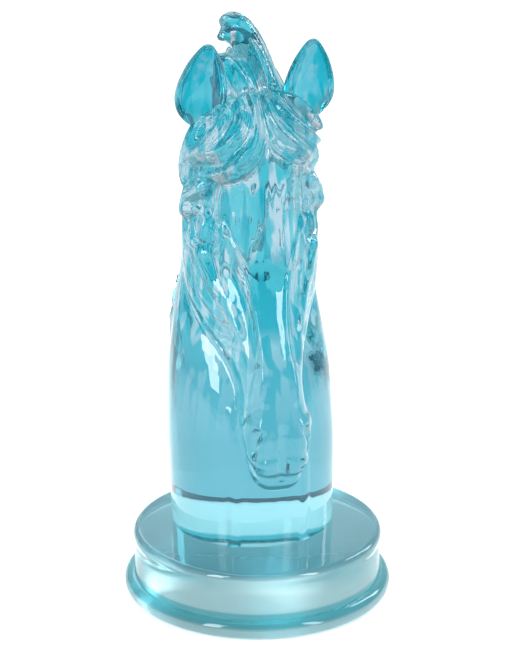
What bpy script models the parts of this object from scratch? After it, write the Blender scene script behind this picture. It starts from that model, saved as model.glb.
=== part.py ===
"""Horse head sculpture: a tinted clear casting of a horse's head and neck on a round stepped plinth.

The plinth and the figure are one casting. The horse faces -Y, its underside lies on Z = 0, and the
plinth's axis is the Z axis. The figure is drawn on a sculptor's grid of 250 squares to its height,
which stands on the plinth's top, so its tables are in squares and not in metres.
"""

import math

import bmesh
import bpy
import numpy as np
from mathutils import Vector

# Plinth, in metres
PLINTH_HEIGHT = 0.0315
PLINTH_LEDGE = 0.0023
PLINTH_WAIST_DEPTH = 0.0006
PLINTH_EDGE_RADIUS = 0.0032
PLINTH_BEAD_RADIUS = 0.0046
PLINTH_BEAD_CENTRE = 0.0040
PLINTH_STEPS = 64
ARC_STEPS = 4

# Figure, in metres, and the grid that its proportions are drawn on
FIGURE_HEIGHT = 0.250
GRID_SQUARES = 250
GRID = FIGURE_HEIGHT / GRID_SQUARES
VOXEL = 1.4 * GRID
SMOOTHING_ROUNDS = 3
POLISH_ROUNDS = 1
SHARP_ANGLE = math.radians(50)
FIGURE_TRIANGLES = 6200
RING_POINTS = 48

# Neck: height, front, widest line, back, half width, flat half width, bow in front and behind
NECK_STATIONS = (
    (-6, -28, 8, 53, 39.2, 0, 1.95, 2.3),
    (0, -28, 8, 53, 39.2, 0, 1.95, 2.3),
    (40, -27, 12, 54.5, 40.2, 0, 2.0, 2.2),
    (62, -24, 15, 55, 39.8, 0, 2.0, 2.1),
    (78, -18, 17, 55, 39, 0, 2.1, 2.1),
    (93, -8, 19, 55, 37.2, 0, 2.1, 2.0),
    (110, 2, 21, 54.5, 34.6, 0, 2.1, 2.0),
    (130, 8, 21, 53, 31.2, 0, 2.1, 1.9),
    (150, 8, 19, 51.5, 29.5, 0, 2.0, 1.9),
    (170, 6, 18, 50, 28, 0, 2.0, 1.8),
    (195, 5, 17, 47, 22, 0, 2.0, 1.7),
    (214, 8, 20, 43.5, 14.5, 0, 2.0, 1.7),
    (228, 15, 24, 38, 9, 0, 2.0, 1.8),
    (233, 20, 26, 33, 4.5, 0, 2.0, 1.9),
    (235, 24, 27, 30, 2, 0, 2.0, 2.0),
)

# The plinth's wall clears the back of the neck by the ledge and the rounding of its edge
NECK_REACH = max(station[3] for station in NECK_STATIONS) * GRID
PLINTH_WALL_RADIUS = NECK_REACH + PLINTH_LEDGE + PLINTH_EDGE_RADIUS

# Head: the same values, where the flat half width is that of the forehead and the nasal bridge
HEAD_STATIONS = (
    (33, -38, -33, -28, 5, 2, 2.0, 2.0),
    (36, -43, -33, -20, 9.5, 4, 2.1, 2.0),
    (42, -46.5, -33, -15, 12, 6, 2.2, 2.0),
    (50, -49, -34, -12, 13.5, 7, 2.3, 2.0),
    (60, -50, -34, -8, 15, 7.5, 2.2, 2.0),
    (68, -49, -33, -6, 15.8, 7, 2.1, 2.0),
    (77, -47, -27, -2, 14.8, 6.5, 1.9, 2.0),
    (86, -44.5, -17, 6, 16, 6.5, 1.7, 2.0),
    (94, -41.5, -6, 14, 19.5, 6.2, 1.55, 2.0),
    (104, -36, 5, 20, 25.7, 5.5, 1.4, 2.2),
    (115, -30, 11, 24, 30.4, 5.5, 1.3, 2.4),
    (128, -25, 13, 28, 32.4, 5.5, 1.25, 2.4),
    (142, -22, 13.5, 30, 33.0, 5.5, 1.25, 2.3),
    (154, -21, 14, 32, 33.1, 5, 1.2, 2.2),
    (166, -19.5, 14, 32, 32.9, 5, 1.2, 2.0),
    (180, -17, 12, 31, 30.8, 6, 1.4, 2.0),
    (192, -13.5, 9, 29, 27.5, 8, 1.7, 2.0),
    (202, -8.5, 9, 26, 22, 8, 2.0, 2.0),
    (208, -4, 10, 22, 16.5, 4, 2.0, 2.0),
    (213, 2, 11, 18, 10, 1, 2.0, 2.0),
    (216, 8, 12, 15, 4, 0, 2.0, 2.0),
)

# Ear on the +X side: its foot, its tip, how far it turns out, and along it the half width, the
# depth of its back and of its cup
EAR_FOOT = (26.5, 11, 199)
EAR_TIP = (24.4, -7, 240.5)
EAR_TURN_OUT = 4
EAR_RIM = 2.6
EAR_RINGS = 14
EAR_RING_POINTS = 24
EAR_BACK_BOW = 0.8
EAR_RIM_SHARE = 0.85
EAR_STATIONS = (
    (0.00, 2.6, 3.0, -4.0),
    (0.07, 6.4, 5.6, -4.5),
    (0.17, 10.0, 8.0, -2.0),
    (0.30, 12.0, 9.2, 2.2),
    (0.45, 11.8, 8.8, 4.2),
    (0.60, 10.4, 7.6, 3.8),
    (0.75, 8.2, 6.0, 2.6),
    (0.88, 5.4, 4.2, 0.8),
    (0.96, 3.2, 2.6, -0.4),
    (0.99, 1.8, 1.6, -0.4),
    (1.00, 0.7, 0.7, -0.3),
)
EAR_SINK = 3

# Forelock: each lock's side, where it leaves the poll, its bend and its end, as places across and
# up the brow, then its half width and how thick it stands
FORELOCK = (
    (-1, (3, 214), (2, 186), (25, 178), 6.6, 4.6),
    (-1, (7, 212), (9, 193), (29, 187), 6.0, 4.8),
    (-1, (13, 209), (17, 199), (33.5, 180), 5.2, 4.4),
    (-1, (19, 204), (30.5, 199), (33, 170), 4.8, 4.2),
    (1, (2, 214), (4, 194), (26, 184), 5.8, 4.4),
    (1, (6, 213), (17, 208), (34, 194), 6.0, 5.6),
    (1, (4, 213), (12, 199), (33, 186), 5.4, 5.0),
    (1, (12, 210), (22, 206), (30, 200), 4.6, 4.2),
    (1, (18, 196), (24, 188), (29, 177), 3.2, 3.0),
)
FORELOCK_TAPER = 8
FORELOCK_LIFT = 1.4
FORELOCK_LIFT_BOW = 0.7
FORELOCK_TILT = 0.8
BROW_STEP = 2

# Top locks, curling up over the poll: each one's path on the grid, its half width and thickness
TOP_LOCKS = (
    (((12, 4, 206), (6, 11, 224), (-2, 18, 255), (-14, 19, 244)), 5.4, 5.2),
    (((6, 3, 206), (3, 9, 222), (-3, 16, 249), (-14.5, 19, 236.5)), 6.2, 5.6),
    (((2, 3, 204), (-6, 8, 216), (-10, 14, 234), (-16, 18, 226)), 5.4, 5.0),
    (((16, 6, 202), (13, 12, 214), (8, 18, 224), (3, 24, 230)), 5.0, 4.4),
)
TOP_LOCK_TAPER = 9
TOP_LOCK_OUTWARD = (0.3, -1, 0.3)

# Mane: how many locks fall down each side of the neck, from where to where, how far from the
# middle they part and each one in three spreads round the neck's side (as shares of its width),
# how soon they spread, how they wave, how far they stand off, and their size
MANE_COUNT = 9
MANE_TOP = 228
MANE_FOOT = 150
MANE_LENGTH = 64
MANE_PARTING = 0.05
MANE_SPREAD = (0.42, 0.66, 0.88)
MANE_SPREAD_BOW = 0.7
MANE_WAVE = 0.08
MANE_HALF_WAVES = 2.5
MANE_HALF_WIDTH = 6.2
MANE_LIFT = 1.4
MANE_RISE = 4.4
MANE_TAPER = 2.6

# Crest: its locks sweep back over the neck's top. The first one's path on the grid, how far down
# each further lock starts and how far back each point of its path moves
CREST_COUNT = 5
CREST_PATH = ((3, 14, 219), (2, 22, 237), (5, 36, 225), (6, 44, 205))
CREST_STEP = 6
CREST_DRIFT = (2, 3, 2, 1)
CREST_OUTWARD = (0.6, 0.2, 1)
CREST_HALF_WIDTH = 5.5
CREST_RISE = 4.5

# Every lock: its root against its middle, how round its tip is, its thinnest share, its strands
LOCK_STEPS = 16
LOCK_RING = 20
LOCK_ROOT_SHARE = 0.72
LOCK_TIP_BOW = 0.55
LOCK_THINNEST = 0.1
STRANDS = 2
STRAND_DEPTH = 0.24

# Features of the face on the +X side, each a path that is pushed out (or in, below zero), with
# its reach. A path's point is a place across and up the head's front, or a place on the grid.
FACE_STROKES = (
    ("temple", ((21.5, 172), (22.5, 166), (22.5, 160)), 3.6, -4.6),
    ("brow", ((27, 171), (31, 165.5), (33, 11, 158.5)), 3.6, 3.6),
    ("brow ridge", ((33, 10, 160), (28, 160.5), (22, 157), (18.5, 152)), 2.0, 1.8),
    ("eyeball", ((25.5, 154), (26, 149)), 2.8, 2.4),
    (
        "eye rim",
        ((21, 152), (23, 157), (27, 158), (30.5, 154), (30, 147), (26, 144), (22, 146), (21, 152)),
        1.5,
        -1.1,
    ),
    ("lower lid", ((19.5, 149), (22, 142.5), (27, 141), (31.5, 147)), 1.7, 0.9),
    (
        "bridge edge",
        ((19, 157), (16.5, 150), (13, 141), (9.5, 132), (7.3, 118), (7, 100), (7.5, 80)),
        1.5,
        0.9,
    ),
    ("facial crest", ((26.5, 141), (23, 128), (18.6, 118), (15, 108)), 3.0, 1.6),
    ("cheek hollow", ((16, 134), (12, 117), (11, 98)), 3.8, -1.8),
    ("cheek", ((29, 136), (27, 122)), 9.0, 1.6),
    ("jaw edge", ((33, 8, 137), (30, 2, 118), (24, 109.5), (17, 106)), 2.3, -1.3),
    ("nostril wing", ((10, 68.5), (13.5, -41, 69.5), (15, -37, 64), (13.5, -40, 56)), 2.6, 1.2),
    ("nostril", ((12, 66), (12.8, -43, 61), (12.5, -43, 56)), 2.4, -3.8),
    ("nostril floor", ((8, 51.5), (11.5, 50), (13.5, -38, 53)), 1.8, 1.2),
    ("muzzle lobe", ((6, 63), (6.3, 59)), 4.0, 1.2),
    ("lip lobe", ((5.8, 51), (5.6, 47.5)), 3.6, 1.6),
    ("lip crease", ((1.5, 55.5), (6, 55), (10, 53.5)), 1.6, -0.8),
    ("mouth", ((0, 42), (8, 42.5), (12, -38, 45.5), (13.5, -27, 51)), 1.8, -1.5),
    ("throat fold", ((18, -25, 1), (18, -24, 45), (17, -18, 66)), 2.4, 1.2),
)
STROKE_FADE = 1.6
LIP_GROOVE = ((0, 66), (0, 56), (0, 45))
LIP_GROOVE_REACH = 2.0
LIP_GROOVE_DEPTH = -1.1


def clear_scene():
    """Removes whatever the file opened with."""
    for obj in list(bpy.data.objects):
        bpy.data.objects.remove(obj)


def new_collection(name):
    """A collection linked to the scene."""
    collection = bpy.data.collections.new(name)
    bpy.context.scene.collection.children.link(collection)
    return collection


def on_grid(point):
    """A point of the sculptor's grid as a place on the model, in metres."""
    return Vector(point) * GRID + Vector((0, 0, PLINTH_HEIGHT))


def loft(name, rings, collection):
    """A closed body through rings of equally many points, capped flat at both ends."""
    bm = bmesh.new()
    loops = [[bm.verts.new(point) for point in ring] for ring in rings]
    count = len(rings[0])
    for lower, upper in zip(loops, loops[1:]):
        for i in range(count):
            j = (i + 1) % count
            bm.faces.new((lower[i], lower[j], upper[j], upper[i]))
    bm.faces.new(loops[0][::-1])
    bm.faces.new(loops[-1])
    bmesh.ops.recalc_face_normals(bm, faces=bm.faces)
    mesh = bpy.data.meshes.new(name)
    bm.to_mesh(mesh)
    bm.free()
    obj = bpy.data.objects.new(name, mesh)
    collection.objects.link(obj)
    return obj


def smooth_between(stations, height):
    """The stations' values at a height, on a smooth curve through them."""
    keys = [row[0] for row in stations]
    height = min(max(height, keys[0]), keys[-1])
    last = len(keys) - 1
    i = min(max(int(np.searchsorted(keys, height)) - 1, 0), last - 1)
    near = [min(max(k, 0), last) for k in range(i - 1, i + 3)]
    rows = [np.array(stations[k][1:], float) for k in near]
    at = [keys[k] for k in near]
    span = at[2] - at[1]
    t = (height - at[1]) / span
    start = (rows[2] - rows[0]) / (at[2] - at[0]) * span
    end = (rows[3] - rows[1]) / (at[3] - at[1]) * span
    return (
        (2 * t**3 - 3 * t**2 + 1) * rows[1]
        + (t**3 - 2 * t**2 + t) * start
        + (3 * t**2 - 2 * t**3) * rows[2]
        + (t**3 - t**2) * end
    )


def section_y(stations, x, height, behind=False):
    """How far forward (or back) the section at this height reaches, at this place across."""
    front, widest, back, half_width, flat, bow_front, bow_back = smooth_between(stations, height)
    share = min(max(abs(x) - flat, 0) / (half_width - flat), 1)
    if behind:
        share = min(abs(x) / half_width, 1)
        return widest + (back - widest) * (1 - share**bow_back) ** (1 / bow_back)
    return widest - (widest - front) * (1 - share**bow_front) ** (1 / bow_front)


def section_ring(stations, height):
    """The section at this height, as a ring of points."""
    front, widest, back, half_width, flat, bow_front, bow_back = smooth_between(stations, height)
    ring = []
    for i in range(RING_POINTS):
        angle = 2 * math.pi * i / RING_POINTS
        sine, cosine = math.sin(angle), math.cos(angle)
        if cosine >= 0:
            ramp = min(1, abs(sine) / math.sin(4 * math.pi / RING_POINTS))
            across = (half_width - flat) * abs(sine) ** (2 / bow_front) + flat * ramp
            along = widest - (widest - front) * cosine ** (2 / bow_front)
        else:
            across = half_width * abs(sine) ** (2 / bow_back)
            along = widest + (back - widest) * abs(cosine) ** (2 / bow_back)
        ring.append(on_grid((math.copysign(across, sine), along, height)))
    return ring


def sectioned_body(name, stations, step, collection):
    """The neck or the head, from its stations."""
    low, high = stations[0][0], stations[-1][0]
    heights = np.linspace(low, high, int((high - low) / step) + 1)
    return loft(name, [section_ring(stations, z) for z in heights], collection)


def ear(side, collection):
    """One cupped ear, open to the front and turned a little outwards. Its foot is sunk in the head."""
    foot, tip = Vector(EAR_FOOT), Vector(EAR_TIP)
    up = (tip - foot).normalized()
    turn = math.radians(EAR_TURN_OUT)
    opening = Vector((math.sin(turn), -math.cos(turn), 0))
    opening = (opening - opening.dot(up) * up).normalized()
    across = up.cross(opening)
    widest = max(station[1] for station in EAR_STATIONS)
    shares = [(1 - math.cos(math.pi * k / EAR_RINGS)) / 2 for k in range(EAR_RINGS + 1)]
    rings = []
    for share in shares:
        half_width, back, cup = smooth_between(EAR_STATIONS, share)
        centre = foot.lerp(tip, share)
        ring = []
        for i in range(EAR_RING_POINTS):
            angle = 2 * math.pi * i / EAR_RING_POINTS
            depth = math.sin(angle)
            if depth >= 0:
                away = -back * depth**EAR_BACK_BOW
            else:
                rim = EAR_RIM * half_width / widest
                away = rim * math.sin(math.pi * min(-depth / EAR_RIM_SHARE, 1)) + cup * depth**3
            point = centre + across * half_width * math.cos(angle) + opening * away
            ring.append(on_grid((side * point.x, point.y, point.z)))
        rings.append(ring)
    rings.insert(0, [point - (on_grid(up) - on_grid((0, 0, 0))) * EAR_SINK for point in rings[0]])
    return loft("ear", rings, collection)


def lock(path, outward, half_width, rise, taper, collection):
    """A lock of hair along a path, ridged with strands. outward is the way that it stands up, and a
    high taper keeps it thick until close to its tip.
    """
    rings = []
    count = len(path)
    for k, point in enumerate(path):
        t = k / (count - 1)
        ahead = path[min(k + 1, count - 1)] - path[max(k - 1, 0)]
        up = (outward[k] - outward[k].project(ahead)).normalized()
        across = ahead.normalized().cross(up)
        swell = LOCK_ROOT_SHARE + (1 - LOCK_ROOT_SHARE) * math.sin(math.pi * t)
        body = max(swell * (1 - t**taper) ** LOCK_TIP_BOW, LOCK_THINNEST)
        ring = []
        for i in range(LOCK_RING):
            angle = 2 * math.pi * i / LOCK_RING
            ridge = 1 + STRAND_DEPTH * math.cos(2 * STRANDS * angle)
            sideways = across * body * half_width * math.cos(angle)
            raised = up * body * rise * math.sin(angle) * ridge
            ring.append(on_grid(point + sideways + raised))
        rings.append(ring)
    return loft("lock", rings, collection)


def bend(points, t):
    """A point on the smooth curve that starts and ends at the outer points and is drawn to the others."""
    row = [Vector(p) for p in points]
    while len(row) > 1:
        row = [a.lerp(b, t) for a, b in zip(row, row[1:])]
    return row[0]


def forelock(collection):
    """Locks that fan from the poll over the brow, to both sides of a parting."""
    top = HEAD_STATIONS[-2][0]
    for side, start, middle, end, half_width, rise in FORELOCK:
        path, outward = [], []
        for i in range(LOCK_STEPS):
            t = i / (LOCK_STEPS - 1)
            across, up = bend((start, middle, end), t)
            y = section_y(HEAD_STATIONS, across, min(up, top))
            slope = section_y(HEAD_STATIONS, across + BROW_STEP, min(up, top)) - y
            out = Vector((side * slope, -BROW_STEP, FORELOCK_TILT)).normalized()
            lift = FORELOCK_LIFT * math.sin(math.pi * t**FORELOCK_LIFT_BOW)
            path.append(Vector((side * across, y, up)) + out * lift)
            outward.append(out)
        lock(path, outward, half_width, rise, FORELOCK_TAPER, collection)


def top_locks(collection):
    """The locks that curl up over the poll."""
    for points, half_width, rise in TOP_LOCKS:
        path = [bend(points, i / (LOCK_STEPS - 1)) for i in range(LOCK_STEPS)]
        outward = [Vector(TOP_LOCK_OUTWARD)] * LOCK_STEPS
        lock(path, outward, half_width, rise, TOP_LOCK_TAPER, collection)


def mane(collection):
    """Locks that fall from the crest down both sides of the neck, and back over the crest itself."""
    for side in (-1, 1):
        for k in range(MANE_COUNT):
            root = MANE_TOP + (MANE_FOOT - MANE_TOP) * k / (MANE_COUNT - 1)
            path, outward = [], []
            for i in range(LOCK_STEPS):
                t = i / (LOCK_STEPS - 1)
                z = root - MANE_LENGTH * t
                widest = MANE_SPREAD[k % len(MANE_SPREAD)]
                spread = MANE_PARTING + (widest - MANE_PARTING) * t**MANE_SPREAD_BOW
                share = spread + MANE_WAVE * math.sin(MANE_HALF_WAVES * math.pi * t + k)
                across = smooth_between(NECK_STATIONS, z)[3] * share
                y = section_y(NECK_STATIONS, across, z, behind=True)
                out = Vector((side * share, math.sqrt(max(1 - share**2, 0)), 0)).normalized()
                path.append(Vector((side * across, y, z)) + out * MANE_LIFT)
                outward.append(out)
            lock(path, outward, MANE_HALF_WIDTH, MANE_RISE, MANE_TAPER, collection)
    for k in range(CREST_COUNT):
        side = -1 if k % 2 else 1
        points = [
            (side * x, y + drift * k, z - CREST_STEP * k)
            for (x, y, z), drift in zip(CREST_PATH, CREST_DRIFT)
        ]
        path = [bend(points, i / (LOCK_STEPS - 1)) for i in range(LOCK_STEPS)]
        x, y, z = CREST_OUTWARD
        outward = [Vector((side * x, y, z))] * LOCK_STEPS
        lock(path, outward, CREST_HALF_WIDTH, CREST_RISE, MANE_TAPER, collection)


def distance_to_path(points, path):
    """How far each point lies from a path of straight pieces."""
    nearest = np.full(len(points), np.inf)
    for start, end in zip(path, path[1:]):
        a, b = np.array(start, float), np.array(end, float)
        along = np.clip(((points - a) @ (b - a)) / ((b - a) @ (b - a)), 0, 1)
        nearest = np.minimum(nearest, np.linalg.norm(points - a - along[:, None] * (b - a), axis=1))
    return nearest


def on_face(point):
    """A stroke's point on the grid, which lies on the head's front where it has no depth."""
    if len(point) == 3:
        return point
    x, z = point
    return x, section_y(HEAD_STATIONS, x, z), z


def push(mesh, path, reach, depth):
    """Pushes the surface near a path on the grid outwards, or inwards where depth is below zero."""
    count = len(mesh.vertices)
    points = np.empty(count * 3)
    normals = np.empty(count * 3)
    mesh.vertices.foreach_get("co", points)
    mesh.vertices.foreach_get("normal", normals)
    points = points.reshape(-1, 3)
    on_path = [tuple(on_grid(point)) for point in path]
    share = np.clip(distance_to_path(points, on_path) / (reach * STROKE_FADE * GRID), 0, 1)
    fade = (1 - share**2) ** 2
    points += normals.reshape(-1, 3) * (fade * depth * GRID)[:, None]
    mesh.vertices.foreach_set("co", points.ravel())
    mesh.update()


def carve_face(mesh):
    """Draws the eyes, brows, cheeks, nostrils and mouth on the head."""
    for _, path, reach, depth in FACE_STROKES:
        for side in (-1, 1):
            push(mesh, [(side * x, y, z) for x, y, z in map(on_face, path)], reach, depth)
    push(mesh, [on_face(point) for point in LIP_GROOVE], LIP_GROOVE_REACH, LIP_GROOVE_DEPTH)


def apply_modifiers(obj):
    """Makes an object's modifiers part of its mesh."""
    graph = bpy.context.evaluated_depsgraph_get()
    mesh = bpy.data.meshes.new_from_object(obj.evaluated_get(graph))
    obj.modifiers.clear()
    obj.data = mesh
    return obj


def join(parts, name, collection):
    """One object that holds all the parts' faces."""
    bm = bmesh.new()
    for part in parts:
        bm.from_mesh(part.data)
    mesh = bpy.data.meshes.new(name)
    bm.to_mesh(mesh)
    bm.free()
    for part in parts:
        bpy.data.objects.remove(part)
    obj = bpy.data.objects.new(name, mesh)
    collection.objects.link(obj)
    return obj


def build_figure(collection):
    """The horse's head and neck as one closed skin."""
    sectioned_body("neck", NECK_STATIONS, 4, collection)
    sectioned_body("head", HEAD_STATIONS, 3, collection)
    forelock(collection)
    top_locks(collection)
    mane(collection)
    figure = join(list(collection.objects), "figure", collection)
    skin = figure.modifiers.new("skin", "REMESH")
    skin.mode = "VOXEL"
    skin.voxel_size = VOXEL
    smooth = figure.modifiers.new("smooth", "SMOOTH")
    smooth.factor = 0.5
    smooth.iterations = SMOOTHING_ROUNDS
    apply_modifiers(figure)
    carve_face(figure.data)
    polish = figure.modifiers.new("polish", "SMOOTH")
    polish.factor = 0.5
    polish.iterations = POLISH_ROUNDS
    figure.data.calc_loop_triangles()
    thin = figure.modifiers.new("thin", "DECIMATE")
    thin.ratio = FIGURE_TRIANGLES / len(figure.data.loop_triangles)
    return apply_modifiers(figure)


def plinth_profile():
    """The plinth's outline from the middle of its top, down its side, to the middle of its foot."""
    wall_top = PLINTH_HEIGHT - PLINTH_EDGE_RADIUS
    wall_foot = PLINTH_BEAD_CENTRE + PLINTH_BEAD_RADIUS
    edge_radius = PLINTH_WALL_RADIUS - PLINTH_EDGE_RADIUS
    points = [(0, PLINTH_HEIGHT)]
    for i in range(ARC_STEPS + 1):
        angle = math.pi / 2 * (1 - i / ARC_STEPS)
        radius = edge_radius + PLINTH_EDGE_RADIUS * math.cos(angle)
        points.append((radius, wall_top + PLINTH_EDGE_RADIUS * math.sin(angle)))
    for i in range(1, ARC_STEPS):
        t = i / ARC_STEPS
        waist = PLINTH_WAIST_DEPTH * math.sin(math.pi * t)
        points.append((PLINTH_WALL_RADIUS - waist, wall_top + (wall_foot - wall_top) * t))
    lowest = -math.asin(PLINTH_BEAD_CENTRE / PLINTH_BEAD_RADIUS)
    for i in range(2 * ARC_STEPS + 1):
        angle = math.pi / 2 + (lowest - math.pi / 2) * i / (2 * ARC_STEPS)
        radius = PLINTH_WALL_RADIUS + PLINTH_BEAD_RADIUS * math.cos(angle)
        points.append((radius, PLINTH_BEAD_CENTRE + PLINTH_BEAD_RADIUS * math.sin(angle)))
    points.append((0, 0))
    return points


def build_plinth(collection):
    """The plinth, turned about the Z axis."""
    bm = bmesh.new()
    verts = [bm.verts.new((x, 0, z)) for x, z in plinth_profile()]
    for a, b in zip(verts, verts[1:]):
        bm.edges.new((a, b))
    mesh = bpy.data.meshes.new("plinth")
    bm.to_mesh(mesh)
    bm.free()
    plinth = bpy.data.objects.new("plinth", mesh)
    collection.objects.link(plinth)
    turn = plinth.modifiers.new("turn", "SCREW")
    turn.axis = "Z"
    turn.steps = PLINTH_STEPS
    turn.render_steps = PLINTH_STEPS
    turn.use_merge_vertices = True
    turn.merge_threshold = 1e-5
    turn.use_normal_calculate = True
    return apply_modifiers(plinth)


def glass_material():
    """Turquoise cast glass."""
    material = bpy.data.materials.new("turquoise_cast_glass")
    material.use_nodes = True
    shader = material.node_tree.nodes["Principled BSDF"]
    shader.inputs["Base Color"].default_value = (0.20, 0.72, 0.78, 1)
    shader.inputs["Roughness"].default_value = 0.05
    shader.inputs["IOR"].default_value = 1.52
    shader.inputs["Transmission Weight"].default_value = 1.0
    shader.inputs["Alpha"].default_value = 0.5
    return material


def fuse(obj, others):
    """Joins other closed bodies to an object with a union, and removes them."""
    for other in others:
        other.hide_render = True
        other.display_type = "WIRE"
        union = obj.modifiers.new(other.name, "BOOLEAN")
        union.operation = "UNION"
        union.solver = "EXACT"
        union.object = other
    apply_modifiers(obj)
    for other in others:
        bpy.data.objects.remove(other)


def main():
    """Builds the casting."""
    clear_scene()
    part = new_collection("horse_head_sculpture")
    cutters = new_collection("cutters")
    casting = build_figure(cutters)
    cutters.objects.unlink(casting)
    part.objects.link(casting)
    casting.name = "horse_head_casting"
    casting.data.name = "horse_head_casting"
    fuse(casting, [ear(-1, cutters), ear(1, cutters), build_plinth(cutters)])
    casting.data.materials.clear()
    casting.data.materials.append(glass_material())
    for face in casting.data.polygons:
        face.use_smooth = True
        face.material_index = 0
    casting.data.set_sharp_from_angle(angle=SHARP_ANGLE)


if __name__ == "__main__":
    main()
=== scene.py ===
"""Horse head ornament in turquoise cast glass: head, neck and round stepped plinth in one casting.

The horse faces -Y and stands on Z = 0. The figure is drawn on a sculptor's grid whose squares stand
on the plinth's top, so the sizes of its forms are in squares. Everything else is in metres.
"""

import logging
import math
from dataclasses import dataclass
from enum import Enum
from typing import Callable, Sequence

import bpy
import numpy as np
from mathutils import Matrix, Vector


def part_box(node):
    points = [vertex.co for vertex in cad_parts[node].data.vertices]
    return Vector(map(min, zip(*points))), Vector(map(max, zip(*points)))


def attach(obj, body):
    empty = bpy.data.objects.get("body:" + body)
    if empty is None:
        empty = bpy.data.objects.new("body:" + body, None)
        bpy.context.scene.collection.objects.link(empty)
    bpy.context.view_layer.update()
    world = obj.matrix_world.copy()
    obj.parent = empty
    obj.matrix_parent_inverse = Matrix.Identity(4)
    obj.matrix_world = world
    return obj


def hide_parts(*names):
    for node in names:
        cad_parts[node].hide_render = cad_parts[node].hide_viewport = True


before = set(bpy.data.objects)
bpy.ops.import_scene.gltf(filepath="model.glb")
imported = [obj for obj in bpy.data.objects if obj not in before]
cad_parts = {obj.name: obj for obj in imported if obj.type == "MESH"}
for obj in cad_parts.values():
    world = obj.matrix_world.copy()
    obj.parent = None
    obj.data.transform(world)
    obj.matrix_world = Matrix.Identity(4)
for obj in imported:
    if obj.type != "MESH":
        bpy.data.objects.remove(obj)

log = logging.getLogger("horse_head")

NODE = "horse_head_casting"
BODY = "root"
MILLIMETRE = 0.001

# How many of the sculptor's squares the whole ornament is tall, down to the plinth's foot.
SQUARES_TALL = 281.7
# How far past its reach a stroke of the modelling tool fades out, as a multiple of it.
STROKE_FADE = 1.6
# The ears' glass starts this many squares aside and up.
EAR_MASK = (12.0, 203.0)
# Vertices nearer than these are one: in a rolled skin, and in the spun plinth.
SKIN_MERGE = 1e-7
SPIN_MERGE = 1e-6
# Edges sharper than this stay crisp in the shading.
SMOOTH_ANGLE = math.radians(55)

Point = tuple[float, float, float]
Stations = Sequence[Sequence[float]]
Socket = bpy.types.NodeSocket
Object = bpy.types.Object
Mesh = bpy.types.Mesh


class Side(Enum):
    """A side of the horse, as the sign of its X."""

    RIGHT = -1
    LEFT = 1


def linear(hex_colour: str) -> tuple[float, float, float, float]:
    """Turns an sRGB hex colour into the linear values that shaders take.

    Args:
        hex_colour: six hex digits, such as "8fd3dc".

    Returns:
        Linear red, green, blue and an alpha of 1.
    """
    values = [int(hex_colour[i : i + 2], 16) / 255 for i in (0, 2, 4)]
    bright = [v / 12.92 if v <= 0.04045 else ((v + 0.055) / 1.055) ** 2.4 for v in values]
    return bright[0], bright[1], bright[2], 1.0


def deselect_all() -> None:
    """Leaves nothing selected and no object in edit mode."""
    if bpy.context.object and bpy.context.object.mode != "OBJECT":
        bpy.ops.object.mode_set(mode="OBJECT")
    bpy.ops.object.select_all(action="DESELECT")


def activate(obj: Object) -> None:
    """Makes one object the only selected one, and the active one.

    Args:
        obj: the object.
    """
    deselect_all()
    obj.select_set(True)
    bpy.context.view_layer.objects.active = obj


def coordinates(mesh: Mesh, attribute: str = "co") -> np.ndarray:
    """Reads the places or the normals of a mesh's vertices.

    Args:
        mesh: the mesh.
        attribute: "co" for places, "normal" for normals.

    Returns:
        One row of X, Y and Z for each vertex.
    """
    values = np.empty(len(mesh.vertices) * 3)
    mesh.vertices.foreach_get(attribute, values)
    return values.reshape(-1, 3)


def move_to(mesh: Mesh, points: np.ndarray) -> None:
    """Writes the places of a mesh's vertices."""
    mesh.vertices.foreach_set("co", points.ravel())
    mesh.update()


def skin_of_rings(
    name: str, rings: int, around: int, place: Callable[[np.ndarray, np.ndarray], np.ndarray]
) -> Object:
    """Rolls a flat grid into a closed body.

    Args:
        name: the new object's name.
        rings: how many rings the body has along its length.
        around: how many points each ring has.
        place: gives the places for shares of the way around and along, each from 0 to 1.

    Returns:
        The closed body, its seam merged and both its ends filled.
    """
    deselect_all()
    bpy.ops.mesh.primitive_grid_add(x_subdivisions=around, y_subdivisions=rings - 1, size=2)
    body = bpy.context.object
    body.name = name
    flat = coordinates(body.data)
    move_to(body.data, place((flat[:, 0] + 1) / 2, (flat[:, 1] + 1) / 2))
    bpy.ops.object.mode_set(mode="EDIT")
    bpy.ops.mesh.select_all(action="SELECT")
    bpy.ops.mesh.remove_doubles(threshold=SKIN_MERGE)
    bpy.ops.mesh.fill_holes(sides=0)
    bpy.ops.mesh.select_all(action="SELECT")
    bpy.ops.mesh.normals_make_consistent(inside=False)
    bpy.ops.object.mode_set(mode="OBJECT")
    return body


def joined(parts: Sequence[Object], name: str) -> Object:
    """Joins objects into one, without merging their surfaces.

    Args:
        parts: the objects.
        name: the name of the result.

    Returns:
        The first object, which now holds all.
    """
    activate(parts[0])
    for part in parts:
        part.select_set(True)
    bpy.ops.object.join()
    parts[0].name = name
    return parts[0]


def fused(body: Object, other: Object) -> None:
    """Unites another closed body with the first, and removes the other.

    Args:
        body: the body that keeps the union.
        other: the body that is added to it.
    """
    activate(body)
    union = body.modifiers.new("union", "BOOLEAN")
    union.operation = "UNION"
    union.solver = "MANIFOLD"
    union.object = other
    bpy.ops.object.modifier_apply(modifier=union.name)
    bpy.data.objects.remove(other)


@dataclass(frozen=True)
class SculptorsGrid:
    """The squares that the figure is drawn on.

    square is the side of one square, and ground is the height of the plinth's top.
    """

    square: float
    ground: float

    def place(self, points: np.ndarray) -> np.ndarray:
        """Turns places on the grid into places on the model."""
        return points * self.square + np.array([0.0, 0.0, self.ground])

    def read(self, points: np.ndarray) -> np.ndarray:
        """Turns places on the model into places on the grid."""
        return (points - np.array([0.0, 0.0, self.ground])) / self.square


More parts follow.
